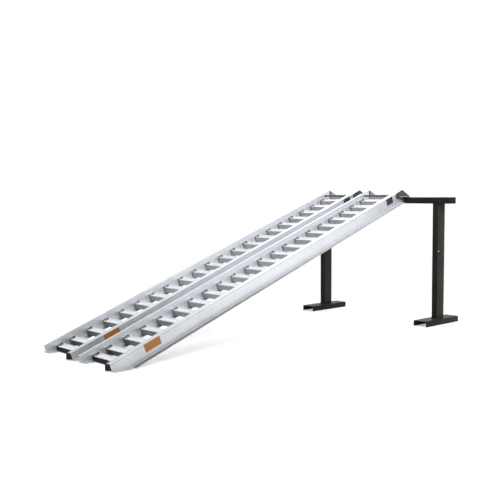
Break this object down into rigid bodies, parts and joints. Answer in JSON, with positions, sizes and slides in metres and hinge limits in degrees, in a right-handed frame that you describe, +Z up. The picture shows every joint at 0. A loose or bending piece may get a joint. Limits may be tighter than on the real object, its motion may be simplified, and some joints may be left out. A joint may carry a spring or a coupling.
{
  "type": "straight loading ramp pair on stand",
  "caption": "Straight ladder-type loading ramps in aluminium, each with a hooked lip that pivots on a rod and slides along the beam of a black tube stand.",
  "frame": {"origin": "middle of the whole pair and stand seen from above, on the ground", "axes": "+X up the ramps towards the stand, +Y across the pair away from the near ramp, +Z up"},
  "size_m": [3.1, 1.377, 1.0733],
  "materials": {
    "rail_aluminium": "mill finish extrusion, satin",
    "rung_aluminium": "mill finish extrusion, satin",
    "foot_plate_aluminium": "scuffed",
    "rod_zinc_steel": "zinc plated",
    "lip_aluminium": "welded plate, grey",
    "beam_black_paint": "satin black",
    "post_black_paint": "satin black",
    "channel_black_paint": "satin black"
  },
  "bodies": {
    "stand": {"stand_beam": "beam_black_paint", "stand_post_near": "post_black_paint", "stand_post_far": "post_black_paint", "stand_foot_channel_near": "channel_black_paint", "stand_foot_channel_far": "channel_black_paint"},
    "near_lip": {"near_ramp_lip_bracket": "lip_aluminium"},
    "near_ramp": {"near_ramp_rail_near": "rail_aluminium", "near_ramp_rail_far": "rail_aluminium", "near_ramp_foot_plate_near": "foot_plate_aluminium", "near_ramp_foot_plate_far": "foot_plate_aluminium", "near_ramp_pivot_rod": "rod_zinc_steel", "near_ramp_rung_01": "rung_aluminium", "near_ramp_rung_02": "rung_aluminium", "near_ramp_rung_03": "rung_aluminium", "near_ramp_rung_04": "rung_aluminium", "near_ramp_rung_05": "rung_aluminium", "near_ramp_rung_06": "rung_aluminium", "near_ramp_rung_07": "rung_aluminium", "near_ramp_rung_08": "rung_aluminium", "near_ramp_rung_09": "rung_aluminium", "near_ramp_rung_10": "rung_aluminium", "near_ramp_rung_11": "rung_aluminium", "near_ramp_rung_12": "rung_aluminium", "near_ramp_rung_13": "rung_aluminium", "near_ramp_rung_14": "rung_aluminium", "near_ramp_rung_15": "rung_aluminium", "near_ramp_rung_16": "rung_aluminium", "near_ramp_rung_17": "rung_aluminium", "near_ramp_rung_18": "rung_aluminium", "near_ramp_rung_19": "rung_aluminium", "near_ramp_rung_20": "rung_aluminium", "near_ramp_rung_21": "rung_aluminium"},
    "far_lip": {"far_ramp_lip_bracket": "lip_aluminium"},
    "far_ramp": {"far_ramp_rail_near": "rail_aluminium", "far_ramp_rail_far": "rail_aluminium", "far_ramp_foot_plate_near": "foot_plate_aluminium", "far_ramp_foot_plate_far": "foot_plate_aluminium", "far_ramp_pivot_rod": "rod_zinc_steel", "far_ramp_rung_01": "rung_aluminium", "far_ramp_rung_02": "rung_aluminium", "far_ramp_rung_03": "rung_aluminium", "far_ramp_rung_04": "rung_aluminium", "far_ramp_rung_05": "rung_aluminium", "far_ramp_rung_06": "rung_aluminium", "far_ramp_rung_07": "rung_aluminium", "far_ramp_rung_08": "rung_aluminium", "far_ramp_rung_09": "rung_aluminium", "far_ramp_rung_10": "rung_aluminium", "far_ramp_rung_11": "rung_aluminium", "far_ramp_rung_12": "rung_aluminium", "far_ramp_rung_13": "rung_aluminium", "far_ramp_rung_14": "rung_aluminium", "far_ramp_rung_15": "rung_aluminium", "far_ramp_rung_16": "rung_aluminium", "far_ramp_rung_17": "rung_aluminium", "far_ramp_rung_18": "rung_aluminium", "far_ramp_rung_19": "rung_aluminium", "far_ramp_rung_20": "rung_aluminium", "far_ramp_rung_21": "rung_aluminium"}
  },
  "joints": [
    {"name": "near_lip_slide", "type": "slide", "parent": "stand", "child": "near_lip", "axis": [0, 1, 0], "range_m": [-0.4, 0.02]},
    {"name": "near_ramp_pivot", "type": "hinge", "parent": "near_lip", "child": "near_ramp", "pos_m": [1.21683, -0.0875, 1.02392], "axis": [0, 1, 0], "range_deg": [0, 25]},
    {"name": "far_lip_slide", "type": "slide", "parent": "stand", "child": "far_lip", "axis": [0, 1, 0], "range_m": [-0.02, 0.12]},
    {"name": "far_ramp_pivot", "type": "hinge", "parent": "far_lip", "child": "far_ramp", "pos_m": [1.21683, 0.3595, 1.02392], "axis": [0, 1, 0], "range_deg": [0, 25]}
  ]
}
